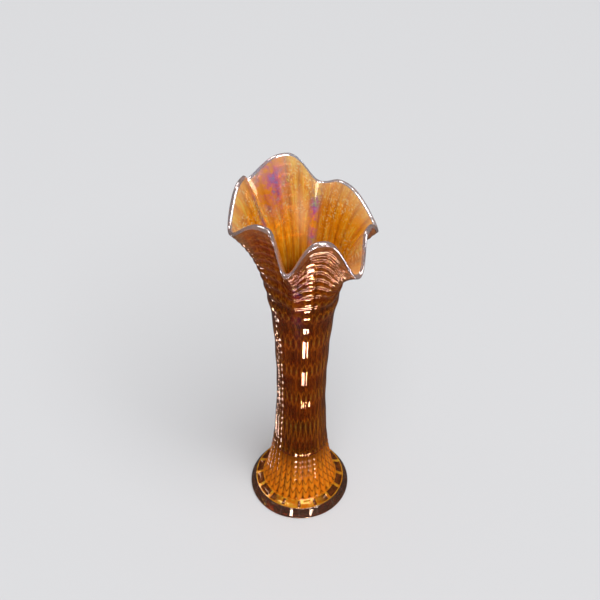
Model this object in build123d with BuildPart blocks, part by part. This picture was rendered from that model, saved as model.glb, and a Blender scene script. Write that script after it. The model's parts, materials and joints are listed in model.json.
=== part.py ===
from build123d import *
from math import cos, hypot, pi, sin
import os

# A pressed and swung art glass vase with a ruffled mouth, millimetres, +Z up.
# The origin is the centre of the flat face that the foot rests on.
# The glass is one casting. It is split at its forming zones into four closed
# solids that meet face to face: foot, skirt, column and ruffled mouth.

# Foot
FOOT_RADIUS = 39.0          # at the resting face
FOOT_TOP_RADIUS = 35.3      # where the clear edge band ends
FOOT_BAND_HEIGHT = 8.0
FOOT_HEIGHT = 10.5          # the skirt starts here
FOOT_JOINT_RADIUS = 29.2
FOOT_EDGE_CHAMFER = 0.8
FOOT_LAND = 0.6             # upright land above the chamfer
FOOT_TOP_ROUND = 1.0
SAME_RADIUS = 0.01          # for picking the edge to round
SCALLOPS = 16               # shallow hollows pressed round the top of the foot
SCALLOP_RING_RADIUS = 32.3
SCALLOP_BALL = 10.0
SCALLOP_DEPTH = 1.0

# Ribs of the mould, which run the whole height of the outside
RIBS = 32
POINTS_PER_RIB = 2
RIB_DEPTH_FOOT = 0.9
RIB_DEPTH_WAIST = 0.5
RIB_DEPTH_THROAT = 0.6
WAIST_HEIGHT = 115.0

# Skirt and column: (height, radius at the middle of the ribs)
SKIRT_PROFILE = ((FOOT_HEIGHT, 28.2), (13.5, 27.3), (18.0, 26.2), (24.0, 25.1), (31.0, 24.0),
                 (38.0, 22.9), (45.0, 21.9))
COLUMN_PROFILE = ((45.0, 21.9), (53.0, 20.9), (62.0, 20.1), (74.0, 19.3), (88.0, 18.6),
                  (102.0, 18.2), (116.0, 18.0), (130.0, 18.3), (144.0, 18.8), (158.0, 19.4),
                  (170.0, 20.1), (181.0, 21.0), (190.0, 22.0))
FLOOR_HEIGHT = 15.0         # top of the glass floor inside
FLOOR_ROUND = 9.0
SKIRT_WALL = 5.0
MOUTH_WALL = 3.0
WALL_THINNING = 0.6         # below 1 the wall thins early on the way up
SKIRT_BORE_MIDDLE = 34.0    # height of the bore line's middle point in the skirt

# Mouth: the wall runs from the throat at s = 0 to the lip at s = 1
THROAT_HEIGHT = 190.0
THROAT_RADIUS = 22.0
LIP_MEAN_HEIGHT = 271.0
LIP_MEAN_RADIUS = 47.5
THROAT_SLOPE = 12.0         # growth of the radius per unit of s at the throat
FLARE_POWER = 3.4           # how late the mean wall turns outwards
RUFFLE_POWER = 2.2          # how late the crests and valleys begin
WALL_STEPS = 16
NOSE_STEPS = 5              # sections round the fire-polished lip
DIRECTION_STEP = 0.01       # of s, for the direction of the wall
LIP_THICKNESS = 3.4
MOUTH_FLOOR = 2.0           # closed off while lofting, then bored through

# Six crests and six valleys of the lip, anticlockwise from +X: (azimuth, radius, height)
LIP_POINTS = ((8, 47.5, 255), (51, 41.8, 273), (77, 48.5, 262), (108, 49.5, 284.5),
              (138, 54.5, 268.5), (152, 46.5, 283), (190, 48.5, 263.5), (237, 43.0, 286.5),
              (255, 44.5, 256), (282, 50.0, 287), (312, 51.0, 252.5), (337, 44.0, 273))
CREST_FULLNESS = 1.3        # above 1 the crests are broad and the valleys narrow


def rib_depth(height):
    """Ribs are boldest at the foot, finest where the glass was stretched most."""
    if height < WAIST_HEIGHT:
        share = (WAIST_HEIGHT - height) / (WAIST_HEIGHT - FOOT_HEIGHT)
        return RIB_DEPTH_WAIST + (RIB_DEPTH_FOOT - RIB_DEPTH_WAIST) * share ** 2
    share = min(1.0, (height - WAIST_HEIGHT) / (THROAT_HEIGHT - WAIST_HEIGHT))
    return RIB_DEPTH_WAIST + (RIB_DEPTH_THROAT - RIB_DEPTH_WAIST) * share


def ring_angles():
    count = RIBS * POINTS_PER_RIB
    return [2 * pi * i / count for i in range(count)]


def rib_wave(angle):
    return 0.5 * cos(RIBS * angle)


def ribbed_outline(height, radius):
    """Points of the ribbed outside at one height, in the plane of the sketch."""
    depth = rib_depth(height)
    points = []
    for angle in ring_angles():
        reach = radius + depth * rib_wave(angle)
        points.append((reach * cos(angle), reach * sin(angle)))
    return points


def lip_offsets(angle):
    """How far the lip stands out and up from its mean circle at this azimuth."""
    turn = angle * 180 / pi
    ring = [(a - 360, r, h) for a, r, h in LIP_POINTS[-1:]]
    ring += list(LIP_POINTS)
    ring += [(a + 360, r, h) for a, r, h in LIP_POINTS[:1]]
    for (a0, r0, h0), (a1, r1, h1) in zip(ring, ring[1:]):
        if a0 <= turn <= a1:
            share = (turn - a0) / (a1 - a0)
            if h0 > h1:
                share = share ** CREST_FULLNESS
            else:
                share = 1 - (1 - share) ** CREST_FULLNESS
            ease = (1 - cos(pi * share)) / 2
            radius = r0 + (r1 - r0) * ease
            height = h0 + (h1 - h0) * ease
            return radius - LIP_MEAN_RADIUS, height - LIP_MEAN_HEIGHT
    raise ValueError("azimuth outside the lip")


def mouth_wall(s, angle):
    """Radius and height of the outside of the mouth, without ribs."""
    out, up = lip_offsets(angle)
    spread = LIP_MEAN_RADIUS - THROAT_RADIUS - THROAT_SLOPE
    ruffle = abs(s) ** RUFFLE_POWER
    radius = THROAT_RADIUS + THROAT_SLOPE * s + spread * abs(s) ** FLARE_POWER + out * ruffle
    height = THROAT_HEIGHT + (LIP_MEAN_HEIGHT - THROAT_HEIGHT) * s + up * ruffle
    return radius, height


def wall_direction(s, angle):
    """Unit step up the wall, in the plane through the axis."""
    r0, h0 = mouth_wall(s - DIRECTION_STEP, angle)
    r1, h1 = mouth_wall(s + DIRECTION_STEP, angle)
    length = hypot(r1 - r0, h1 - h0)
    return (r1 - r0) / length, (h1 - h0) / length


def wall_thickness(s):
    return MOUTH_WALL + (LIP_THICKNESS - MOUTH_WALL) * s ** 2


def outside_point(s, angle):
    radius, height = mouth_wall(s, angle)
    radius += rib_depth(THROAT_HEIGHT) * rib_wave(angle) * (1 - s ** 2)
    return radius * cos(angle), radius * sin(angle), height


def nose_point(turn, angle):
    """Half circle over the lip, from the outside (0) to the inside (pi)."""
    radius, height = mouth_wall(1.0, angle)
    along_r, along_h = wall_direction(1.0, angle)
    half = LIP_THICKNESS / 2
    across = half * (1 - cos(turn))
    above = half * sin(turn)
    radius += above * along_r - across * along_h
    height += above * along_h + across * along_r
    return radius * cos(angle), radius * sin(angle), height


def inside_point(s, angle):
    radius, height = mouth_wall(s, angle)
    along_r, along_h = wall_direction(s, angle)
    radius -= wall_thickness(s) * along_h
    height += wall_thickness(s) * along_r
    return radius * cos(angle), radius * sin(angle), height


def ring_wire(points):
    with BuildLine(mode=Mode.PRIVATE) as ring:
        Spline(*points, periodic=True)
    return ring.wire()


def inner_radius(height):
    """Radius of the bore in the skirt and the column."""
    profile = SKIRT_PROFILE[:-1] + COLUMN_PROFILE
    for (h0, r0), (h1, r1) in zip(profile, profile[1:]):
        if h0 <= height <= h1:
            outer = r0 + (r1 - r0) * (height - h0) / (h1 - h0)
            share = (height - FOOT_HEIGHT) / (THROAT_HEIGHT - FOOT_HEIGHT)
            wall = SKIRT_WALL + (MOUTH_WALL - SKIRT_WALL) * share ** WALL_THINNING
            return outer - wall
    raise ValueError("height outside the bore")


os.makedirs("parts", exist_ok=True)

# Foot: a round disc with a sloping edge band and a ring of pressed scallops
with BuildPart() as foot:
    with BuildSketch(Plane.XZ):
        with BuildLine():
            Polyline(
                (0, 0),
                (FOOT_RADIUS - FOOT_EDGE_CHAMFER, 0),
                (FOOT_RADIUS, FOOT_EDGE_CHAMFER),
                (FOOT_RADIUS, FOOT_EDGE_CHAMFER + FOOT_LAND),
                (FOOT_TOP_RADIUS, FOOT_BAND_HEIGHT),
                (FOOT_JOINT_RADIUS, FOOT_HEIGHT),
                (0, FOOT_HEIGHT),
                close=True,
            )
        make_face()
    revolve(axis=Axis.Z)
    band_tops = foot.edges().filter_by(GeomType.CIRCLE)
    band_tops = band_tops.filter_by(lambda edge: abs(edge.radius - FOOT_TOP_RADIUS) < SAME_RADIUS)
    fillet(band_tops, FOOT_TOP_ROUND)
    hollow_height = (FOOT_BAND_HEIGHT + FOOT_HEIGHT) / 2 + SCALLOP_BALL - SCALLOP_DEPTH
    with Locations((0, 0, hollow_height)):
        with PolarLocations(SCALLOP_RING_RADIUS, SCALLOPS):
            Sphere(SCALLOP_BALL, mode=Mode.SUBTRACT)
foot.part.label = "foot"
export_step(foot.part, "parts/foot.step")

# Skirt: the ribbed flare above the foot, which holds the floor of the vase
with BuildPart() as skirt:
    for height, radius in SKIRT_PROFILE:
        with BuildSketch(Plane.XY.offset(height)):
            with BuildLine():
                Spline(*ribbed_outline(height, radius), periodic=True)
            make_face()
    loft(ruled=True)
    skirt_top = SKIRT_PROFILE[-1][0]
    with BuildSketch(Plane.XZ):
        with BuildLine():
            bore_heights = (FLOOR_HEIGHT + FLOOR_ROUND, SKIRT_BORE_MIDDLE, skirt_top)
            bore_side = [(inner_radius(h), h) for h in bore_heights]
            Line((0, FLOOR_HEIGHT), (bore_side[0][0] - FLOOR_ROUND, FLOOR_HEIGHT))
            RadiusArc((bore_side[0][0] - FLOOR_ROUND, FLOOR_HEIGHT), bore_side[0], -FLOOR_ROUND)
            Spline(*bore_side)
            Line(bore_side[-1], (0, skirt_top))
            Line((0, skirt_top), (0, FLOOR_HEIGHT))
        make_face()
    revolve(axis=Axis.Z, mode=Mode.SUBTRACT)
skirt.part.label = "skirt"
export_step(skirt.part, "parts/skirt.step")

# Column: the long ribbed stretch that was drawn out by swinging
with BuildPart() as column:
    for height, radius in COLUMN_PROFILE:
        with BuildSketch(Plane.XY.offset(height)):
            with BuildLine():
                Spline(*ribbed_outline(height, radius), periodic=True)
            make_face()
    loft(ruled=True)
    with BuildSketch(Plane.XZ):
        with BuildLine():
            bore_side = [(inner_radius(h), h) for h, _ in COLUMN_PROFILE]
            Line((0, COLUMN_PROFILE[0][0]), bore_side[0])
            Spline(*bore_side)
            Line(bore_side[-1], (0, COLUMN_PROFILE[-1][0]))
            Line((0, COLUMN_PROFILE[-1][0]), (0, COLUMN_PROFILE[0][0]))
        make_face()
    revolve(axis=Axis.Z, mode=Mode.SUBTRACT)
column.part.label = "column"
export_step(column.part, "parts/column.step")

# Ruffled mouth: up the outside, over the lip and down the inside to the throat
with BuildPart() as ruffled_mouth:
    wall_steps = [i / WALL_STEPS for i in range(WALL_STEPS + 1)]
    angles = ring_angles()
    rings = [[outside_point(s, a) for a in angles] for s in wall_steps]
    for i in range(1, NOSE_STEPS + 1):
        turn = pi * i / (NOSE_STEPS + 1)
        rings.append([nose_point(turn, a) for a in angles])
    rings += [[inside_point(s, a) for a in angles] for s in reversed(wall_steps[1:])]
    throat_bore = THROAT_RADIUS - MOUTH_WALL
    floor_height = THROAT_HEIGHT + MOUTH_FLOOR
    floor_bore = throat_bore + THROAT_SLOPE * MOUTH_FLOOR / (LIP_MEAN_HEIGHT - THROAT_HEIGHT)
    rings.append([(floor_bore * cos(a), floor_bore * sin(a), floor_height) for a in angles])
    add(Solid.make_loft([ring_wire(points) for points in rings], ruled=True))
    with BuildSketch(Plane.XY.offset(THROAT_HEIGHT)):
        Circle(throat_bore)
    extrude(amount=MOUTH_FLOOR, mode=Mode.SUBTRACT)
ruffled_mouth.part.label = "ruffled_mouth"
export_step(ruffled_mouth.part, "parts/ruffled_mouth.step")

print("height of the vase", round(ruffled_mouth.part.bounding_box().max.Z, 1))
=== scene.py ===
"""A ruffled marigold carnival glass vase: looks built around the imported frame.

The visible vase is one closed skin of glass, as the real pressed piece is. Its plain blank is turned out
from the vase's outline, and a Geometry Nodes tree presses the ribs, rings and foot scallops into it.
"""

import json
import math

import bpy
import numpy as np
from mathutils import Matrix, Vector

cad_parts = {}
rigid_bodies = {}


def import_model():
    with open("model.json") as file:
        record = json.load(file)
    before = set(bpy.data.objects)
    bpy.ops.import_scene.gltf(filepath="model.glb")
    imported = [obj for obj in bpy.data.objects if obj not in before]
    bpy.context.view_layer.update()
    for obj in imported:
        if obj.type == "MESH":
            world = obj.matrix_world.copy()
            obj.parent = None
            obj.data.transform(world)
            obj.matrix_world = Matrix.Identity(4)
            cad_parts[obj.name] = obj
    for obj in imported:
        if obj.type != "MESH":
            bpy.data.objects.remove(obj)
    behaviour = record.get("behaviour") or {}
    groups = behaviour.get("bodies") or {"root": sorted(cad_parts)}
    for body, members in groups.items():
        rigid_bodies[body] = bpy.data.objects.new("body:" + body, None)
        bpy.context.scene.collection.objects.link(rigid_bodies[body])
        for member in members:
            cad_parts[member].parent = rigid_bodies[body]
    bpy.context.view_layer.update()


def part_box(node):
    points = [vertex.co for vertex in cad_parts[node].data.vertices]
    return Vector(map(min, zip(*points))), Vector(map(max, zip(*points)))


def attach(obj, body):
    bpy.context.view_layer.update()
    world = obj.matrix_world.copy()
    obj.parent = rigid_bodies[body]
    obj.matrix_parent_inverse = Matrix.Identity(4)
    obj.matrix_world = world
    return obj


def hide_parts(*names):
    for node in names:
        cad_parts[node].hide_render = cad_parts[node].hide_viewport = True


MM = 0.001

# ---------------------------------------------------------------- the vase's outline, millimetres
FOOT_BAND_HEIGHT = 8.0
FOOT_TOP_RADIUS = 35.3
FOOT_EDGE = 0.8             # rounding at the resting face
FOOT_LAND = 0.6             # upright land above the rounding
FOOT_TOP_ROUND = 0.75       # where the edge band meets the top
SKIRT_START_RADIUS = 28.2
SKIRT_CLEARANCE = 0.9       # from the last row of the foot's top to the skirt
RIBS = 32
SCALLOPS = 16

# (height, radius) up the outside of the skirt and the column
BODY_PROFILE = ((10.5, 28.2), (13.5, 27.3), (18.0, 26.2), (24.0, 25.1), (31.0, 24.0), (38.0, 22.9),
                (45.0, 21.9), (53.0, 20.9), (62.0, 20.1), (74.0, 19.3), (88.0, 18.6), (102.0, 18.2),
                (116.0, 18.0), (130.0, 18.3), (144.0, 18.8), (158.0, 19.4), (170.0, 20.1),
                (181.0, 21.0), (190.0, 22.0))

# Mouth: the wall runs from the throat at s = 0 to the lip at s = 1
THROAT_RADIUS = 22.0
LIP_MEAN_HEIGHT = 271.0
LIP_MEAN_RADIUS = 47.5
THROAT_SLOPE = 12.0
FLARE_POWER = 3.4           # how late the mean wall turns outwards
RUFFLE_POWER = 2.2          # how late the crests and valleys begin
CREST_FULLNESS = 1.3        # above 1 the crests are broad and the valleys narrow
DIRECTION_STEP = 0.01       # of s, for the direction of the wall
LIP_THICKNESS = 3.4
MOUTH_WALL = 3.0
SKIRT_WALL = 5.0
WALL_THINNING = 0.6         # below 1 the wall thins early on the way up
FLOOR_HEIGHT = 15.0
FLOOR_ROUND = 9.0

# Six crests and six valleys of the lip, anticlockwise from +X: (azimuth, radius, height)
LIP_POINTS = ((8, 47.5, 255), (51, 41.8, 273), (77, 48.5, 262), (108, 49.5, 284.5),
              (138, 54.5, 268.5), (152, 46.5, 283), (190, 48.5, 263.5), (237, 43.0, 286.5),
              (255, 44.5, 256), (282, 50.0, 287), (312, 51.0, 252.5), (337, 44.0, 273))

# Heights of the ring crests: crowded at the foot and the lip, far apart where the hot glass was drawn out
RING_HEIGHTS = (10.0, 14.0, 18.0, 22.0, 26.5, 31.0, 35.3, 39.8, 44.8, 50.2, 58.0, 87.5, 117.5, 147.0,
                176.0, 203.0, 217.0, 226.8, 234.8, 242.0, 248.4, 254.0, 259.2, 264.0, 268.6, 273.0)

# The pressed pattern: its full depths, and the share of each at a height
RIB_DEPTH = 0.42
RING_DEPTH = 0.36
SCALLOP_DEPTH = 1.0
RIB_SHARES = ((10.5, 0.0), (12.5, 0.95), (30.0, 1.0), (50.0, 0.7), (80.0, 0.42), (115.0, 0.3),
              (160.0, 0.18), (205.0, 0.12), (235.0, 0.1), (262.0, 0.06), (271.0, 0.0))
RING_SHARES = ((10.5, 0.0), (14.0, 0.25), (35.0, 0.3), (58.0, 0.55), (87.5, 0.62), (147.0, 0.5),
               (165.0, 0.55), (185.0, 0.8), (203.0, 1.2), (217.0, 1.35), (232.0, 1.2), (240.0, 1.0),
               (250.0, 0.85), (260.0, 0.7), (271.0, 0.15))

# ---------------------------------------------------------------- mesh density
COLUMNS = RIBS * 8
ROWS_PER_RING = 9
LONGEST_STEP = 3.4
LIP_ROWS = 12
INSIDE_ROWS = 52

# zones of the skin, each with its own glass
FOOT_ZONE, OUTSIDE_ZONE, LIP_ZONE, INSIDE_ZONE, BORE_ZONE, FOOT_TOP_ZONE, SKIRT_ZONE = range(7)
BORE_TOP = 205.0            # the inside changes from bore to mouth here
SKIRT_TOP = 54.0            # the outside changes from skirt to column here


def smooth_curve(points, where):
    """Cubic curve through (x, y) points."""
    xs, ys = np.array(points, float).T
    slopes = np.gradient(ys, xs)
    where = np.clip(where, xs[0], xs[-1])
    i = np.clip(np.searchsorted(xs, where, side="right") - 1, 0, len(xs) - 2)
    span = xs[i + 1] - xs[i]
    t = (where - xs[i]) / span
    rise = ys[i + 1] - ys[i]
    first = slopes[i] * span
    last = slopes[i + 1] * span
    return ys[i] + first * t + (3 * rise - 2 * first - last) * t**2 + (first + last - 2 * rise) * t**3


AZIMUTHS = np.arange(COLUMNS) * 2 * math.pi / COLUMNS


def lip_offsets():
    """How far the lip stands out and up from its mean circle, at each azimuth."""
    degrees = np.degrees(AZIMUTHS)
    ring = [(LIP_POINTS[-1][0] - 360,) + LIP_POINTS[-1][1:]]
    ring += list(LIP_POINTS)
    ring += [(LIP_POINTS[0][0] + 360,) + LIP_POINTS[0][1:]]
    turn, radius, height = np.array(ring, float).T
    i = np.searchsorted(turn, degrees, side="right") - 1
    share = (degrees - turn[i]) / (turn[i + 1] - turn[i])
    falling = height[i] > height[i + 1]
    share = np.where(falling, share**CREST_FULLNESS, 1 - (1 - share) ** CREST_FULLNESS)
    ease = (1 - np.cos(math.pi * share)) / 2
    out = radius[i] + (radius[i + 1] - radius[i]) * ease - LIP_MEAN_RADIUS
    up = height[i] + (height[i + 1] - height[i]) * ease - LIP_MEAN_HEIGHT
    return out, up


LIP_OUT, LIP_UP = lip_offsets()
THROAT_HEIGHT = BODY_PROFILE[-1][0]
WALL_RISE = LIP_MEAN_HEIGHT - THROAT_HEIGHT


def mouth_wall(s):
    """Radius and height of the mouth's outside at share s of the wall."""
    spread = LIP_MEAN_RADIUS - THROAT_RADIUS - THROAT_SLOPE
    ruffle = abs(s) ** RUFFLE_POWER
    radius = THROAT_RADIUS + THROAT_SLOPE * s + spread * abs(s) ** FLARE_POWER + LIP_OUT * ruffle
    height = THROAT_HEIGHT + WALL_RISE * s + LIP_UP * ruffle
    return radius, height


def wall_direction(s):
    """Unit step up the wall in the plane through the axis."""
    r0, h0 = mouth_wall(s - DIRECTION_STEP)
    r1, h1 = mouth_wall(s + DIRECTION_STEP)
    length = np.hypot(r1 - r0, h1 - h0)
    return (r1 - r0) / length, (h1 - h0) / length


def outside_at(level):
    """Outside of the wall where its mean height is level."""
    if level <= THROAT_HEIGHT:
        radius = smooth_curve(BODY_PROFILE, np.array([level]))[0]
        return np.full(COLUMNS, radius), np.full(COLUMNS, level)
    return mouth_wall((level - THROAT_HEIGHT) / WALL_RISE)


def wall_thickness(level):
    foot_top = BODY_PROFILE[0][0]
    if level <= THROAT_HEIGHT:
        share = (level - foot_top) / (THROAT_HEIGHT - foot_top)
        return SKIRT_WALL + (MOUTH_WALL - SKIRT_WALL) * share**WALL_THINNING
    s = (level - THROAT_HEIGHT) / WALL_RISE
    return MOUTH_WALL + (LIP_THICKNESS - MOUTH_WALL) * s**2


def inside_at(level):
    """Inside of the wall where its mean height is level."""
    radius, height = outside_at(level)
    thick = wall_thickness(level)
    if level <= THROAT_HEIGHT:
        return radius - thick, height
    along_r, along_h = wall_direction((level - THROAT_HEIGHT) / WALL_RISE)
    return radius - thick * along_h, height + thick * along_r


def ring_phase(level):
    """Counts rings up the wall: whole numbers at the crests."""
    index = np.arange(len(RING_HEIGHTS))
    return float(smooth_curve(list(zip(RING_HEIGHTS, index)), np.array([level]))[0])


def ring_pitch(level):
    """Distance between ring crests at this level."""
    i = int(np.clip(np.searchsorted(RING_HEIGHTS, level) - 1, 0, len(RING_HEIGHTS) - 2))
    return RING_HEIGHTS[i + 1] - RING_HEIGHTS[i]


class Skin:
    """Rows of points from under the foot, up the outside, over the lip and down to the floor inside."""

    def __init__(self):
        self.rows = []
        self.marks = []

    def add(self, radius, height, zone, level, rib=0.0, ring=0.0, scallop=0.0):
        radius = np.broadcast_to(radius, COLUMNS)
        height = np.broadcast_to(height, COLUMNS)
        points = np.stack([radius * np.cos(AZIMUTHS), radius * np.sin(AZIMUTHS), height], axis=-1)
        self.rows.append(points)
        self.marks.append((zone, level, rib, ring, scallop, ring_phase(level)))


def foot_rows(skin):
    """Underside, upright land, sloping clear band and the scalloped top of the foot."""
    foot_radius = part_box("foot")[1].x / MM
    foot_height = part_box("foot")[1].z / MM
    for share in (0.04, 0.1, 0.2, 0.35, 0.5, 0.65, 0.8, 0.9, 0.96, 0.99):
        skin.add((foot_radius - FOOT_EDGE) * share, 0.0, FOOT_ZONE, 0.0)
    for i in range(5):
        turn = math.pi / 2 * i / 4
        reach = foot_radius - FOOT_EDGE + FOOT_EDGE * math.sin(turn)
        skin.add(reach, FOOT_EDGE * (1 - math.cos(turn)), FOOT_ZONE, 0.0)
    land_top = FOOT_EDGE + FOOT_LAND
    for share in np.linspace(0, 0.88, 9):
        radius = foot_radius + (FOOT_TOP_RADIUS - foot_radius) * share
        height = land_top + (FOOT_BAND_HEIGHT - land_top) * share
        skin.add(radius, height, FOOT_ZONE, 0.0)
    for share in (0.2, 0.4, 0.6, 0.8):
        radius = FOOT_TOP_RADIUS + FOOT_TOP_ROUND * (0.62 - 1.3 * share)
        height = FOOT_BAND_HEIGHT - FOOT_TOP_ROUND * 0.9 * (1 - share) ** 2 + 0.05 * share
        skin.add(radius, height, FOOT_ZONE, 0.0)
    inner = SKIRT_START_RADIUS + SKIRT_CLEARANCE
    outer = FOOT_TOP_RADIUS - FOOT_TOP_ROUND
    for share in np.linspace(0, 1, 16):
        radius = outer + (inner - outer) * share
        height = FOOT_BAND_HEIGHT + 0.1 + (foot_height - FOOT_BAND_HEIGHT - 0.1) * share
        hollow = math.sin(math.pi * share) ** 1.2
        skin.add(radius, height, FOOT_TOP_ZONE, share, scallop=hollow)


def rib_strength(level):
    """Ribs are boldest at the foot, fine on the column, and melt away towards the lip."""
    heights, shares = zip(*RIB_SHARES)
    return float(np.interp(level, heights, shares))


def ring_strength(level):
    """Rings are shallow where the glass was stretched and boldest round the throat."""
    heights, shares = zip(*RING_SHARES)
    return float(np.interp(level, heights, shares))


def outside_rows(skin):
    level = BODY_PROFILE[0][0] + 0.4
    while level < LIP_MEAN_HEIGHT - 0.2:
        radius, height = outside_at(level)
        zone = SKIRT_ZONE if level < SKIRT_TOP else OUTSIDE_ZONE
        skin.add(radius, height, zone, level, rib=rib_strength(level), ring=ring_strength(level))
        level += min(LONGEST_STEP, ring_pitch(level) / ROWS_PER_RING)


def lip_rows(skin):
    """Half circle over the lip, from the outside to the inside."""
    radius, height = mouth_wall(1.0)
    along_r, along_h = wall_direction(1.0)
    half = LIP_THICKNESS / 2
    for i in range(LIP_ROWS + 1):
        turn = math.pi * i / LIP_ROWS
        across = half * (1 - math.cos(turn))
        above = half * math.sin(turn)
        skin.add(radius + above * along_r - across * along_h, height + above * along_h + across * along_r,
                 LIP_ZONE, LIP_MEAN_HEIGHT)


def inside_rows(skin):
    """Down the inside of the mouth and the bore, then across the rounded floor."""
    floor_side = FLOOR_HEIGHT + FLOOR_ROUND
    levels = LIP_MEAN_HEIGHT - (LIP_MEAN_HEIGHT - floor_side) * np.linspace(0, 1, INSIDE_ROWS) ** 1.35
    for level in levels[1:]:
        radius, height = inside_at(level)
        skin.add(radius, height, INSIDE_ZONE if level > BORE_TOP else BORE_ZONE, level)
    side = inside_at(floor_side)[0]
    for i in range(1, 8):
        turn = math.pi / 2 * i / 7
        radius = side - FLOOR_ROUND * (1 - math.cos(turn))
        skin.add(radius, floor_side - FLOOR_ROUND * math.sin(turn), BORE_ZONE, floor_side)
    for share in (0.7, 0.4, 0.15):
        skin.add((side - FLOOR_ROUND) * share, FLOOR_HEIGHT, BORE_ZONE, floor_side)


def blank_mesh():
    """The smooth blank as one closed mesh, with the pattern's marks kept on its points."""
    skin = Skin()
    foot_rows(skin)
    outside_rows(skin)
    lip_rows(skin)
    inside_rows(skin)
    points = np.concatenate(skin.rows)
    count = len(skin.rows)
    low_pole = len(points)
    high_pole = low_pole + 1
    points = np.vstack([points, [[0, 0, 0], [0, 0, FLOOR_HEIGHT]]]) * MM
    faces = []
    for row in range(count - 1):
        for i in range(COLUMNS):
            j = (i + 1) % COLUMNS
            low, high = row * COLUMNS, (row + 1) * COLUMNS
            faces.append((low + i, low + j, high + j, high + i))
    last = (count - 1) * COLUMNS
    for i in range(COLUMNS):
        j = (i + 1) % COLUMNS
        faces.append((low_pole, j, i))
        faces.append((last + i, last + j, high_pole))
    mesh = bpy.data.meshes.new("vase_blank")
    mesh.from_pydata(points.tolist(), [], faces)
    names = ("zone", "level", "rib", "ring", "scallop", "ring_phase")
    table = np.repeat(np.array(skin.marks, float), COLUMNS, axis=0)
    table = np.vstack([table, table[:1], table[-1:]])
    for column, name in enumerate(names):
        layer = mesh.attributes.new(name, "FLOAT", "POINT")
        layer.data.foreach_set("value", table[:, column].astype(np.float32))
    turn = np.concatenate([np.tile(AZIMUTHS, count), [0.0, 0.0]])
    layer = mesh.attributes.new("azimuth", "FLOAT", "POINT")
    layer.data.foreach_set("value", turn.astype(np.float32))
    mesh.shade_smooth()
    mesh.update()
    return mesh


# ---------------------------------------------------------------- the pressed pattern, as Geometry Nodes
class Tree:
    """Short calls for adding and joining nodes in one tree."""

    def __init__(self, tree):
        self.tree = tree

    def node(self, kind, **values):
        node = self.tree.nodes.new(kind)
        for name, value in values.items():
            setattr(node, name, value)
        return node

    def link(self, source, target):
        self.tree.links.new(source, target)

    def feed(self, socket, value):
        if isinstance(value, bpy.types.NodeSocket):
            self.link(value, socket)
        else:
            socket.default_value = value

    def math(self, operation, *values):
        node = self.node("ShaderNodeMath", operation=operation)
        for socket, value in zip(node.inputs, values):
            self.feed(socket, value)
        return node.outputs[0]

    def attribute(self, name):
        node = self.node("GeometryNodeInputNamedAttribute", data_type="FLOAT")
        node.inputs["Name"].default_value = name
        return node.outputs["Attribute"]

    def mark(self, name):
        return self.node("ShaderNodeAttribute", attribute_name=name).outputs["Fac"]

    def noise(self, place, scale, detail, roughness):
        node = self.node("ShaderNodeTexNoise")
        self.link(place, node.inputs["Vector"])
        node.inputs["Scale"].default_value = scale
        node.inputs["Detail"].default_value = detail
        node.inputs["Roughness"].default_value = roughness
        return node.outputs["Fac"]

    def ramp(self, value, low, high):
        node = self.node("ShaderNodeMapRange", interpolation_type="SMOOTHSTEP")
        self.link(value, node.inputs["Value"])
        node.inputs["From Min"].default_value = low
        node.inputs["From Max"].default_value = high
        return node.outputs["Result"]

    def mix(self, share, first, second):
        node = self.node("ShaderNodeMix", data_type="RGBA", clamp_factor=True)
        places = (node.inputs[0], node.inputs[6], node.inputs[7])
        for socket, value in zip(places, (share, first, second)):
            self.feed(socket, value)
        return node.outputs[2]


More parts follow.
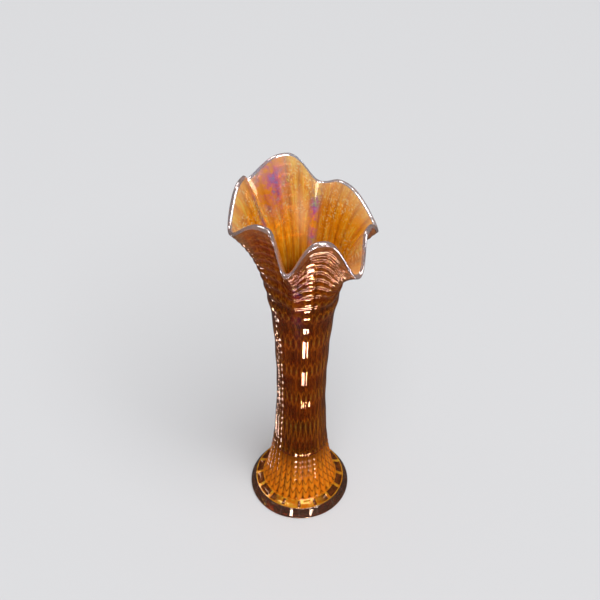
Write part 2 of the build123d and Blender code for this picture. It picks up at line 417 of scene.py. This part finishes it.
def pattern_tree(glasses):
    """Presses ribs, rings and foot scallops into the blank, along its normals."""
    group = bpy.data.node_groups.new("pressed_pattern", "GeometryNodeTree")
    face = group.interface
    face.new_socket("Geometry", in_out="INPUT", socket_type="NodeSocketGeometry")
    sockets = {}
    for name in ("Rib Count", "Rib Depth", "Ring Depth", "Scallop Count", "Scallop Depth"):
        sockets[name] = face.new_socket(name, in_out="INPUT", socket_type="NodeSocketFloat").identifier
    face.new_socket("Geometry", in_out="OUTPUT", socket_type="NodeSocketGeometry")
    t = Tree(group)
    source = t.node("NodeGroupInput")
    value = source.outputs
    azimuth = t.attribute("azimuth")
    rib_turn = t.math("MULTIPLY", azimuth, value["Rib Count"])
    rib_wave = t.math("COSINE", rib_turn)
    rib = t.math("MULTIPLY", t.math("MULTIPLY", rib_wave, t.attribute("rib")), value["Rib Depth"])
    ring_turn = t.math("MULTIPLY", t.attribute("ring_phase"), 2 * math.pi)
    ring_wave = t.math("COSINE", ring_turn)
    ring = t.math("MULTIPLY", t.math("MULTIPLY", ring_wave, t.attribute("ring")), value["Ring Depth"])
    half_turn = t.math("MULTIPLY", t.math("MULTIPLY", azimuth, value["Scallop Count"]), 0.5)
    cell = t.math("POWER", t.math("ABSOLUTE", t.math("SINE", half_turn)), 0.75)
    hollow = t.math("MULTIPLY", t.math("MULTIPLY", cell, t.attribute("scallop")), value["Scallop Depth"])
    push = t.math("SUBTRACT", t.math("ADD", rib, ring), hollow)
    normal = t.node("GeometryNodeInputNormal")
    offset = t.node("ShaderNodeVectorMath", operation="SCALE")
    t.link(normal.outputs[0], offset.inputs[0])
    t.link(push, offset.inputs["Scale"])
    move = t.node("GeometryNodeSetPosition")
    t.link(value["Geometry"], move.inputs["Geometry"])
    t.link(offset.outputs[0], move.inputs["Offset"])
    realize = t.node("GeometryNodeRealizeInstances")
    t.link(move.outputs[0], realize.inputs[0])
    last = realize.outputs[0]
    for zone, glass in enumerate(glasses):
        chosen = t.node("FunctionNodeCompare", data_type="FLOAT", operation="EQUAL")
        t.link(t.attribute("zone"), chosen.inputs["A"])
        chosen.inputs["B"].default_value = float(zone)
        chosen.inputs["Epsilon"].default_value = 0.5
        paint = t.node("GeometryNodeSetMaterial")
        t.link(last, paint.inputs["Geometry"])
        t.link(chosen.outputs["Result"], paint.inputs["Selection"])
        paint.inputs["Material"].default_value = glass
        last = paint.outputs[0]
    sink = t.node("NodeGroupOutput")
    t.link(last, sink.inputs["Geometry"])
    return group, sockets


def pressed_vase(glasses):
    blank = bpy.data.objects.new("vase_blank", blank_mesh())
    bpy.context.scene.collection.objects.link(blank)
    group, sockets = pattern_tree(glasses)
    press = blank.modifiers.new("pressed_pattern", "NODES")
    press.node_group = group
    sizes = {"Rib Count": float(RIBS), "Rib Depth": RIB_DEPTH * MM, "Ring Depth": RING_DEPTH * MM,
             "Scallop Count": float(SCALLOPS), "Scallop Depth": SCALLOP_DEPTH * MM}
    for name, size in sizes.items():
        press[sockets[name]] = size
    depsgraph = bpy.context.evaluated_depsgraph_get()
    mesh = bpy.data.meshes.new_from_object(blank.evaluated_get(depsgraph))
    blank.modifiers.remove(press)
    bpy.data.objects.remove(blank)
    mesh.name = "vase_glass"
    vase = bpy.data.objects.new("vase_glass", mesh)
    bpy.context.scene.collection.objects.link(vase)
    return vase


# ---------------------------------------------------------------- glass
LUSTRE_COLOURS = ("Crest", "Groove", "Streak", "Neighbour")
# Ring Glow, Skirt Glow, Oil and Weave set how much painted glint, glow, iridescent reflection and
# refraction is laid on
LUSTRE_AMOUNTS = ("Rib Contrast", "Streaks", "Ring Glow", "Oil", "Fade", "Skirt Glow", "Flecks", "Weave",
                  "Neighbour Level", "Neighbour Reach")
# colours of the painted glints at the rings: stitches and beads
STITCH_GLINT = (1.0, 0.32, 0.010, 1)
BEAD_GLINT = (1.0, 0.62, 0.08, 1)
# painted glow of the light gathered in the thick glass of the skirt
THICK_GLASS_GLOW = (0.95, 0.24, 0.006, 1)
GOLD_FLECK = (1.0, 0.82, 0.36, 1)
FLECK_PIT = (0.62, 0.17, 0.004, 1)
# pale colour of the thinned lustre, also used for a painted highlight
THIN_LUSTRE_AND_HIGHLIGHT = (0.95, 0.70, 0.42, 1)
# painted sheen where the glass is seen aslant
PAINTED_EDGE_SHEEN = (1.0, 0.27, 0.008, 1)
EDGE_BLEND = 0.33
SPECULAR = (1.0, 0.92, 0.84, 1)

# the film's colours from thin to thick: gold, violet, blue, green, gold
OIL_BANDS = ((0.62, (0.9, 0.3, 0.02, 1)), (0.78, (0.55, 0.04, 0.36, 1)), (0.86, (0.14, 0.1, 0.62, 1)),
             (0.93, (0.02, 0.35, 0.3, 1)), (1.0, (0.75, 0.45, 0.03, 1)))

# soft patches on the wall: (azimuth, width, level, height), in degrees and millimetres
# patches of painted iridescent reflection
OIL_REFLECTION_PATCHES = ((121, 12, 266, 15), (79, 5, 246, 20), (262, 9, 218, 32), (146, 6, 250, 18))
# pale patches where the lustre thins; the one at azimuth 94 is a painted highlight
CLEAR_AND_HIGHLIGHT_PATCHES = ((312, 13, 262, 20), (200, 12, 268, 14), (94, 8, 246, 13))
BEADED_PATCH = (213, 34, 128, 78)
BEAD_PITCH = 6.4
# pitch of the painted refraction zigzags on the skirt
WEAVE_PITCH = 8.5

# levels between which each effect comes or goes
SKIRT_GLOW_FADES = (14.0, 84.0)
WEAVE_FADES = (42.0, 53.0)
FLECKS_BEGIN = (226.0, 246.0)
PITS_BEGIN = (222.0, 250.0)
LUSTRE_THINS = (262.0, 284.0)


def bell(t, value, width):
    """One at nought, falling away on both sides over the width."""
    share = t.math("DIVIDE", t.math("ABSOLUTE", value), width)
    return t.math("EXPONENT", t.math("MULTIPLY", t.math("POWER", share, 2.0), -1.0))


def spot_on(t, azimuth, level, turn, width, middle, tall):
    """Soft patch on the wall round an azimuth in degrees and a level."""
    aside = t.math("SINE", t.math("MULTIPLY", t.math("SUBTRACT", azimuth, math.radians(turn)), 0.5))
    aside = t.math("POWER", t.math("DIVIDE", t.math("ABSOLUTE", aside), math.radians(width) / 2), 2.0)
    off = t.math("ABSOLUTE", t.math("DIVIDE", t.math("SUBTRACT", level, middle), tall))
    off = t.math("POWER", off, 2.0)
    return t.math("EXPONENT", t.math("MULTIPLY", t.math("ADD", aside, off), -1.0))


def around(t, place):
    """Azimuth about the vase's axis, and the place's x, y and z."""
    split = t.node("ShaderNodeSeparateXYZ")
    t.link(place, split.inputs[0])
    return t.math("ARCTAN2", split.outputs[1], split.outputs[0]), split.outputs


def stitched_rings(t, rib):
    """Masks of painted glints: a zigzag row of stitches just above and below each ring's crest, and a
    bead on the crest, where the rings and ribs bend the light.
    """
    turn = t.math("SUBTRACT", t.math("FRACT", t.math("ADD", t.mark("ring_phase"), 0.5)), 0.5)
    zigzag = t.math("ADD", t.math("ABSOLUTE", turn), t.math("MULTIPLY_ADD", rib, 0.14, -0.24))
    stitches = bell(t, zigzag, 0.05)
    bead = t.math("MULTIPLY", bell(t, turn, 0.07), t.math("POWER", rib, 4.0))
    return stitches, bead


def drawn_streaks(t, azimuth, level):
    """Wide and fine noise that follows the azimuth and barely changes up the wall."""
    drawn = t.node("ShaderNodeCombineXYZ")
    t.link(t.math("COSINE", azimuth), drawn.inputs[0])
    t.link(t.math("SINE", azimuth), drawn.inputs[1])
    t.link(t.math("MULTIPLY", level, 0.004), drawn.inputs[2])
    return t.noise(drawn.outputs[0], 7.0, 3.0, 0.6), t.noise(drawn.outputs[0], 30.0, 2.0, 0.6)


def skirt_painted_refraction(t, level, rib):
    """Painted refraction: dark zigzag lines across the ribs of the skirt, for the ribs seen bent through
    the thick glass.
    """
    woven = t.math("ADD", t.math("DIVIDE", level, WEAVE_PITCH), t.math("MULTIPLY", rib, 0.5))
    woven = t.math("SUBTRACT", t.math("FRACT", woven), 0.5)
    return t.math("MULTIPLY", bell(t, woven, 0.11), t.math("SUBTRACT", 1.0, t.ramp(level, *WEAVE_FADES)))


def crackle(t, place, level, cloud):
    """Masks of the golden flecks towards the lip, and of the darker pits between them."""
    flecks = t.math("MULTIPLY", t.ramp(t.noise(place, 700.0, 1.0, 0.4), 0.56, 0.64),
                    t.ramp(level, *FLECKS_BEGIN))
    pits = t.math("MULTIPLY", t.ramp(t.noise(place, 420.0, 2.0, 0.5), 0.46, 0.38),
                  t.ramp(level, *PITS_BEGIN))
    return (t.math("MULTIPLY", flecks, t.ramp(cloud, 0.42, 0.6)),
            t.math("MULTIPLY", pits, t.ramp(cloud, 0.44, 0.6)))


def oily_film(t, place, cloud):
    """Violet, blue and green of a thick film, laid on as painted iridescent reflections."""
    speck = t.noise(place, 420.0, 2.0, 0.5)
    film = t.math("ADD", t.math("MULTIPLY", cloud, 1.7), t.math("MULTIPLY", speck, 0.55))
    oil = t.node("ShaderNodeValToRGB")
    bands = oil.color_ramp.elements
    bands[0].position, bands[0].color = OIL_BANDS[0]
    bands[1].position, bands[1].color = OIL_BANDS[-1]
    for where, tint in OIL_BANDS[1:-1]:
        bands.new(where).color = tint
    t.link(t.math("MULTIPLY", film, 0.72), oil.inputs[0])
    return oil.outputs[0]


def lustre_group():
    """Marigold lustre: groove and crest colour and drawn-out streaks, with stitched rings painted as
    glints, oily patches painted as iridescent reflections, and a painted glow at the skirt.
    """
    group = bpy.data.node_groups.new("marigold_lustre_and_painted_light", "ShaderNodeTree")
    face = group.interface
    for name in LUSTRE_COLOURS:
        face.new_socket(name, in_out="INPUT", socket_type="NodeSocketColor")
    for name in LUSTRE_AMOUNTS:
        face.new_socket(name, in_out="INPUT", socket_type="NodeSocketFloat")
    face.new_socket("Color", in_out="OUTPUT", socket_type="NodeSocketColor")
    face.new_socket("Beads", in_out="OUTPUT", socket_type="NodeSocketFloat")
    t = Tree(group)
    source = t.node("NodeGroupInput").outputs

    def laid(mask, amount, under, over):
        """The colour over laid on the colour under, by the mask and the named amount."""
        return t.mix(t.math("MULTIPLY", mask, source[amount]), under, over)

    place = t.node("ShaderNodeTexCoord").outputs["Object"]
    azimuth, _ = around(t, place)
    level = t.mark("level")
    rib = t.math("MULTIPLY_ADD", t.math("COSINE", t.math("MULTIPLY", azimuth, float(RIBS))), 0.5, 0.5)
    groove = t.math("POWER", t.math("SUBTRACT", 1.0, rib), 3.0)
    cloud = t.noise(place, 55.0, 3.0, 0.6)

    # streaked crests and dark, uneven grooves
    wide, fine = drawn_streaks(t, azimuth, level)
    streak = t.ramp(t.math("MULTIPLY_ADD", fine, 0.6, t.math("MULTIPLY", wide, 0.4)), 0.46, 0.62)
    colour = laid(streak, "Streaks", source["Crest"], source["Streak"])
    uneven = t.math("MULTIPLY_ADD", t.ramp(fine, 0.35, 0.62), 0.75, 0.25)
    dark = t.math("MULTIPLY", t.math("MULTIPLY", groove, uneven), source["Rib Contrast"])
    colour = t.mix(dark, colour, source["Groove"])

    # painted glints: the rings' stitches and beads, where the rings and ribs bend the light
    stitches, bead = stitched_rings(t, rib)
    stitches = t.math("MULTIPLY", stitches, t.math("MULTIPLY_ADD", t.ramp(fine, 0.4, 0.6), 0.6, 0.4))
    colour = laid(stitches, "Ring Glow", colour, STITCH_GLINT)
    colour = laid(bead, "Ring Glow", colour, BEAD_GLINT)

    # painted glow: brighter where the thick glass of the skirt gathers the light, with a dark weave of
    # painted refraction
    low = t.math("SUBTRACT", 1.0, t.ramp(level, *SKIRT_GLOW_FADES))
    glow = t.math("MULTIPLY", low, t.math("SUBTRACT", 1.0, dark))
    colour = laid(glow, "Skirt Glow", colour, THICK_GLASS_GLOW)
    # painted refraction: dark zigzags for the ribs seen bent through the thick glass
    colour = laid(skirt_painted_refraction(t, level, rib), "Weave", colour, source["Groove"])

    # golden crackle towards the lip
    flecks, pits = crackle(t, place, level, cloud)
    colour = laid(flecks, "Flecks", colour, GOLD_FLECK)
    colour = laid(pits, "Flecks", colour, FLECK_PIT)

    # each zone runs into its neighbour's colour near the level where they meet; on the inside and in the
    # bore that colour is painted shade, darker into the throat
    away = t.math("SUBTRACT", level, source["Neighbour Level"])
    away = t.math("DIVIDE", away, source["Neighbour Reach"])
    away = t.math("ADD", away, t.math("MULTIPLY_ADD", fine, 0.8, -0.4))
    merged = t.mix(dark, source["Neighbour"], source["Groove"])
    colour = t.mix(t.math("MULTIPLY", bell(t, away, 1.0), 0.95), colour, merged)

    # the lustre's own film colours, laid on as painted iridescent reflections in soft patches where it
    # catches the light
    patch = 0.0
    for spot in OIL_REFLECTION_PATCHES:
        patch = t.math("MAXIMUM", patch, spot_on(t, azimuth, level, *spot))
    colour = laid(patch, "Oil", colour, oily_film(t, place, cloud))

    # the lustre thins to clear glass at the lip; the patch at azimuth 94, level 246 is a painted
    # highlight in the same pale colour, for the inside of the back wall
    thin = t.ramp(t.math("ADD", level, t.math("MULTIPLY", cloud, 14.0)), *LUSTRE_THINS)
    for spot in CLEAR_AND_HIGHLIGHT_PATCHES:
        thin = t.math("MAXIMUM", thin, spot_on(t, azimuth, level, *spot))
    colour = laid(thin, "Fade", colour, THIN_LUSTRE_AND_HIGHLIGHT)

    # fine beads down the ribs on one side of the column
    fall = t.math("SINE", t.math("MULTIPLY", level, 2 * math.pi / BEAD_PITCH))
    beads = t.math("MULTIPLY", t.math("MULTIPLY", fall, rib), spot_on(t, azimuth, level, *BEADED_PATCH))
    sink = t.node("NodeGroupOutput")
    t.link(colour, sink.inputs["Color"])
    t.link(beads, sink.inputs["Beads"])
    return group


def principled(name, **values):
    material = bpy.data.materials.new(name)
    material.use_nodes = True
    shader = material.node_tree.nodes["Principled BSDF"]
    for socket, value in values.items():
        shader.inputs[socket.replace("_", " ")].default_value = value
    return material, Tree(material.node_tree), shader


def foot_place(t):
    """Place, azimuth, height in millimetres, and a wave that is nought at each bar between scallops."""
    place = t.node("ShaderNodeTexCoord").outputs["Object"]
    azimuth, parts = around(t, place)
    height = t.math("DIVIDE", parts[2], MM)
    cell = t.math("ABSOLUTE", t.math("SINE", t.math("MULTIPLY", azimuth, SCALLOPS / 2)))
    return place, azimuth, height, cell


def foot_glass():
    """Clear band of the foot with a tick at each bar, over a stained underside with a bright rim."""
    band, tick_glass = (0.64, 0.42, 0.28, 1), (1.0, 0.85, 0.7, 1)
    stain_dark, stain, rim_glass = (0.14, 0.05, 0.015, 1), (0.34, 0.10, 0.02, 1), (1.0, 0.38, 0.06, 1)
    material, t, shader = principled("foot_glass", Roughness=0.035, IOR=1.5, Transmission_Weight=0.96,
                                     Metallic=0.1, Specular_Tint=(1.0, 0.85, 0.7, 1))
    place, _, height, cell = foot_place(t)
    swirl = t.noise(place, 260.0, 3.0, 0.6)
    tick = t.ramp(t.math("SUBTRACT", 1.0, cell), 0.84, 0.95)
    colour = t.mix(tick, band, tick_glass)
    underside = t.mix(t.ramp(swirl, 0.35, 0.65), stain_dark, stain)
    colour = t.mix(t.ramp(height, 0.0, 0.25), underside, colour)
    rim = t.math("MULTIPLY", t.ramp(height, 0.1, 0.3), t.math("SUBTRACT", 1.0, t.ramp(height, 1.0, 1.5)))
    colour = t.mix(rim, colour, rim_glass)
    t.link(colour, shader.inputs["Base Color"])
    return material


def foot_top_lustre_and_glow():
    """Top of the foot: smoky hollows and amber bars, and in front a painted glow of light let through the
    skirt: amber hollows and dark bars.
    """
    amber_deep, amber_pale, bar_dark = (1.0, 0.26, 0.004, 1), (1.0, 0.52, 0.04, 1), (0.22, 0.05, 0.006, 1)
    smoke_dark, smoke_warm = (0.10, 0.028, 0.008, 1), (0.34, 0.085, 0.014, 1)
    material, t, shader = principled("foot_top_lustre_and_glow", Roughness=0.04, IOR=1.5, Transmission_Weight=0.55,
                                     Metallic=0.1, Specular_Tint=(1.0, 0.8, 0.55, 1))
    place, azimuth, _, cell = foot_place(t)
    swirl = t.noise(place, 320.0, 3.0, 0.6)
    across = t.mark("scallop")
    hollow = t.math("MULTIPLY", t.ramp(cell, 0.22, 0.38), t.ramp(across, 0.05, 0.18))
    aside = t.math("MULTIPLY", t.math("ADD", azimuth, math.pi / 2), 0.5)
    aside = t.math("ABSOLUTE", t.math("SINE", aside))
    # painted glow: near the front the hollows turn amber and the bars dark, for light let through the
    # skirt onto the foot
    front_painted_glow = t.math("SUBTRACT", 1.0, t.ramp(aside, 0.2, 0.36))
    amber = t.mix(t.ramp(swirl, 0.38, 0.62), amber_deep, amber_pale)
    smoke = t.mix(t.ramp(swirl, 0.35, 0.65), smoke_dark, smoke_warm)
    bar = t.mix(front_painted_glow, amber, bar_dark)
    bar = t.mix(t.ramp(across, 0.30, 0.10), bar, amber)
    colour = t.mix(hollow, bar, t.mix(front_painted_glow, smoke, amber))
    t.link(colour, shader.inputs["Base Color"])
    return material


def lustred(name, lustre, colours, amounts, edge=0.0, beads=0.0, **values):
    """Glass with the lustre in LUSTRE_COLOURS order; an amount left out is nought.

    With an edge share a painted sheen brightens the colour where the surface is seen aslant. With a depth
    in metres for the beads they stand out in the surface's relief.
    """
    material, t, shader = principled(name, Specular_Tint=SPECULAR, **values)
    use = t.node("ShaderNodeGroup", node_tree=lustre)
    for socket, colour in zip(LUSTRE_COLOURS, colours):
        use.inputs[socket].default_value = (*colour, 1)
    for socket, amount in amounts.items():
        use.inputs[socket].default_value = amount
    colour = use.outputs["Color"]
    if edge:
        # painted sheen: the colour turns bright orange where the surface is seen aslant
        slant = t.node("ShaderNodeLayerWeight")
        slant.inputs["Blend"].default_value = EDGE_BLEND
        colour = t.mix(t.math("MULTIPLY", slant.outputs["Facing"], edge), colour, PAINTED_EDGE_SHEEN)
    t.link(colour, shader.inputs["Base Color"])
    if beads:
        bump = t.node("ShaderNodeBump")
        bump.inputs["Distance"].default_value = beads
        t.link(use.outputs["Beads"], bump.inputs["Height"])
        t.link(bump.outputs["Normal"], shader.inputs["Normal"])
    return material


def outside_lustre(lustre):
    """Dark amber of the column and the outside of the mouth."""
    crest, groove, streak = (0.14, 0.020, 0.0005), (0.02, 0.003, 0.0002), (1.0, 0.28, 0.008)
    amounts = {"Rib Contrast": 0.85, "Streaks": 0.75, "Ring Glow": 1.0, "Oil": 0.4, "Fade": 0.5,
               "Skirt Glow": 0.6, "Flecks": 0.3, "Neighbour Level": SKIRT_TOP, "Neighbour Reach": 1.0}
    return lustred("outside_lustre", lustre, (crest, groove, streak, crest), amounts, edge=0.45,
                   beads=0.14 * MM, Roughness=0.03, IOR=1.45, Transmission_Weight=0.86, Metallic=0.28)


def skirt_lustre(lustre):
    """Bright orange of the thick glass at the skirt, a painted glow of the light it gathers, darkening
    into the column.
    """
    crest, groove, streak = (1.0, 0.22, 0.003), (0.05, 0.007, 0.0003), (1.0, 0.45, 0.03)
    dark_column = (0.07, 0.010, 0.0003)
    amounts = {"Rib Contrast": 1.0, "Streaks": 0.8, "Ring Glow": 0.3, "Skirt Glow": 0.4, "Weave": 0.85,
               "Neighbour Level": SKIRT_TOP + 3.0, "Neighbour Reach": 17.0}
    return lustred("skirt_lustre", lustre, (crest, groove, streak, dark_column), amounts, edge=0.5,
                   Roughness=0.03, IOR=1.45, Transmission_Weight=0.28, Metallic=0.16)


def lip_glass(lustre):
    """Fire-polished lip, almost clear, with a silver blue sheen."""
    rosy, warm, silver_blue = (0.90, 0.78, 0.76), (0.9, 0.6, 0.5), (0.72, 0.82, 1.0)
    amounts = {"Streaks": 0.7, "Oil": 0.2, "Neighbour Reach": 1.0}
    return lustred("lip_glass", lustre, (rosy, warm, silver_blue, rosy), amounts,
                   Roughness=0.05, IOR=1.5, Transmission_Weight=0.8, Metallic=0.35)


def inside_lustre(lustre):
    """Marigold of the mouth's inside, with painted shade darkening it into the throat."""
    crest, groove, streak = (1.0, 0.36, 0.005), (0.48, 0.085, 0.001), (1.0, 0.60, 0.06)
    painted_throat_shade = (0.13, 0.020, 0.0008)
    amounts = {"Rib Contrast": 0.75, "Streaks": 0.95, "Oil": 0.85, "Fade": 0.4, "Flecks": 0.7,
               "Neighbour Level": BORE_TOP, "Neighbour Reach": 14.0}
    return lustred("inside_lustre", lustre, (crest, groove, streak, painted_throat_shade), amounts,
                   Roughness=0.08, IOR=1.45, Transmission_Weight=0.5, Metallic=0.1)


def bore_lustre(lustre):
    """Inside of the column and the glass floor."""
    crest, groove, streak = (0.62, 0.18, 0.01), (0.30, 0.05, 0.002), (1.0, 0.34, 0.02)
    # painted shade darkening the bore near the throat
    throat = (0.30, 0.055, 0.002)
    amounts = {"Rib Contrast": 0.4, "Streaks": 0.9, "Skirt Glow": 1.0,
               "Neighbour Level": BORE_TOP, "Neighbour Reach": 30.0}
    return lustred("bore_lustre", lustre, (crest, groove, streak, throat), amounts, Roughness=0.12,
                   IOR=1.4, Transmission_Weight=0.92, Metallic=0.0, Specular_IOR_Level=0.1)


def glasses():
    """One glass for each zone of the skin, in the zones' order."""
    lustre = lustre_group()
    return (foot_glass(), outside_lustre(lustre), lip_glass(lustre), inside_lustre(lustre),
            bore_lustre(lustre), foot_top_lustre_and_glow(), skirt_lustre(lustre))


# ---------------------------------------------------------------- stage, metres and watts
VASE_MIDDLE = (0, 0, 0.15)
FOOT_MIDDLE = (0, 0, 0.01)
FLOOR_REACH = 40.0
FLOOR_GAP = 0.0002          # below the foot, so that the two faces don't meet
CAMERA_PLACE = (-0.00203, -0.4986, 0.6622)
CAMERA_PITCH = 42.9         # degrees down
CAMERA_ROLL = 0.96


def floor():
    """Plain pale floor. The glass mirrors the lights under it, as it would on a dark polished table."""
    side = FLOOR_REACH
    corners = [(-side, -side, 0), (side, -side, 0), (side, side, 0), (-side, side, 0)]
    mesh = bpy.data.meshes.new("floor")
    mesh.from_pydata(corners, [], [(0, 1, 2, 3)])
    plane = bpy.data.objects.new("floor", mesh)
    bpy.context.scene.collection.objects.link(plane)
    plane.location.z = -FLOOR_GAP
    material, _, _ = principled("pale_floor", Base_Color=(0.60, 0.60, 0.61, 1), Roughness=0.6)
    mesh.materials.append(material)
    plane.visible_glossy = False
    plane.visible_shadow = False
    return plane


def area_light(name, place, target, size, watts):
    data = bpy.data.lights.new(name, "AREA")
    data.shape = "RECTANGLE"
    data.size, data.size_y = size
    data.energy = watts
    lamp = bpy.data.objects.new(name, data)
    bpy.context.scene.collection.objects.link(lamp)
    lamp.location = place
    way = Vector(target) - Vector(place)
    lamp.rotation_euler = way.to_track_quat("-Z", "Y").to_euler()


def from_middle(azimuth, elevation, distance):
    """A place seen from the vase's middle, in degrees and metres."""
    turn, lift = math.radians(azimuth), math.radians(elevation)
    reach = distance * math.cos(lift)
    return reach * math.cos(turn), reach * math.sin(turn), VASE_MIDDLE[2] + distance * math.sin(lift)


def below(place):
    """The same place mirrored in the floor."""
    return place[0], place[1], -place[2]


def softboxes():
    area_light("key_softbox", from_middle(-60, 50, 1.6), VASE_MIDDLE, (0.9, 0.9), 18)
    area_light("fill_softbox", from_middle(146, 50, 1.6), VASE_MIDDLE, (0.7, 0.7), 9)
    area_light("top_softbox", from_middle(-92, 79, 1.5), VASE_MIDDLE, (0.20, 0.20), 3)
    area_light("roof_panel", from_middle(-90, 82, 1.7), VASE_MIDDLE, (1.3, 1.2), 4)
    area_light("low_right", from_middle(-60, -2.7, 1.2), FOOT_MIDDLE, (0.4, 0.08), 2.0)
    area_light("low_left", from_middle(-105, -2.7, 1.2), FOOT_MIDDLE, (0.1, 0.08), 0.8)
    area_light("mirrored_front", below(from_middle(-73, 48.5, 1.3)), VASE_MIDDLE, (0.145, 0.23), 5.4)
    area_light("mirrored_left", from_middle(146, -50, 1.3), VASE_MIDDLE, (0.07, 0.07), 0.3)
    area_light("mirrored_top", below(from_middle(-80, 77, 1.0)), VASE_MIDDLE, (0.62, 0.07), 2.2)


def light_apart(vase, plane):
    """The softboxes light the glass only; a broad soft sun lights the floor evenly."""
    glass = bpy.data.collections.new("lit_by_softboxes")
    glass.objects.link(vase)
    for lamp in bpy.context.scene.objects:
        if lamp.type == "LIGHT":
            lamp.light_linking.receiver_collection = glass
    data = bpy.data.lights.new("soft_sun", "SUN")
    data.energy = 3.0
    data.angle = math.radians(50)
    sun = bpy.data.objects.new("soft_sun", data)
    bpy.context.scene.collection.objects.link(sun)
    sun.rotation_euler = (math.radians(28), 0, math.radians(25))
    ground = bpy.data.collections.new("lit_by_sun")
    ground.objects.link(plane)
    sun.light_linking.receiver_collection = ground


def studio():
    """Pale surroundings; the glass mirrors them dimly, as in a tent with dark cards."""
    plain, backdrop_gain, mirrored_loss = 0.45, 0.32, 0.37
    world = bpy.data.worlds.new("studio")
    bpy.context.scene.world = world
    world.use_nodes = True
    t = Tree(world.node_tree)
    background = world.node_tree.nodes["Background"]
    background.inputs["Color"].default_value = (0.90, 0.91, 0.93, 1)
    path = t.node("ShaderNodeLightPath").outputs
    seen = t.math("MULTIPLY_ADD", path["Is Camera Ray"], backdrop_gain, plain)
    strength = t.math("MULTIPLY_ADD", path["Is Glossy Ray"], -mirrored_loss, seen)
    t.link(strength, background.inputs["Strength"])


def camera():
    pitch, roll = math.radians(CAMERA_PITCH), math.radians(CAMERA_ROLL)
    ahead = np.array([0, math.cos(pitch), -math.sin(pitch)])
    level = np.array([1.0, 0, 0])
    above = np.array([0, math.sin(pitch), math.cos(pitch)])
    right = math.cos(roll) * level + math.sin(roll) * above
    up = -math.sin(roll) * level + math.cos(roll) * above
    data = bpy.data.cameras.new("camera")
    data.lens = 60.0
    data.sensor_width = 36.0
    eye = bpy.data.objects.new("camera", data)
    bpy.context.scene.collection.objects.link(eye)
    matrix = Matrix.Identity(4)
    for row in range(3):
        matrix[row][0], matrix[row][1], matrix[row][2] = right[row], up[row], -ahead[row]
    matrix.translation = CAMERA_PLACE
    eye.matrix_world = matrix
    bpy.context.scene.camera = eye
    bpy.context.scene.view_settings.view_transform = "Standard"


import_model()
camera()
softboxes()
studio()
ground = floor()
vase = pressed_vase(glasses())
light_apart(vase, ground)
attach(vase, "root")
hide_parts("foot", "skirt", "column", "ruffled_mouth")
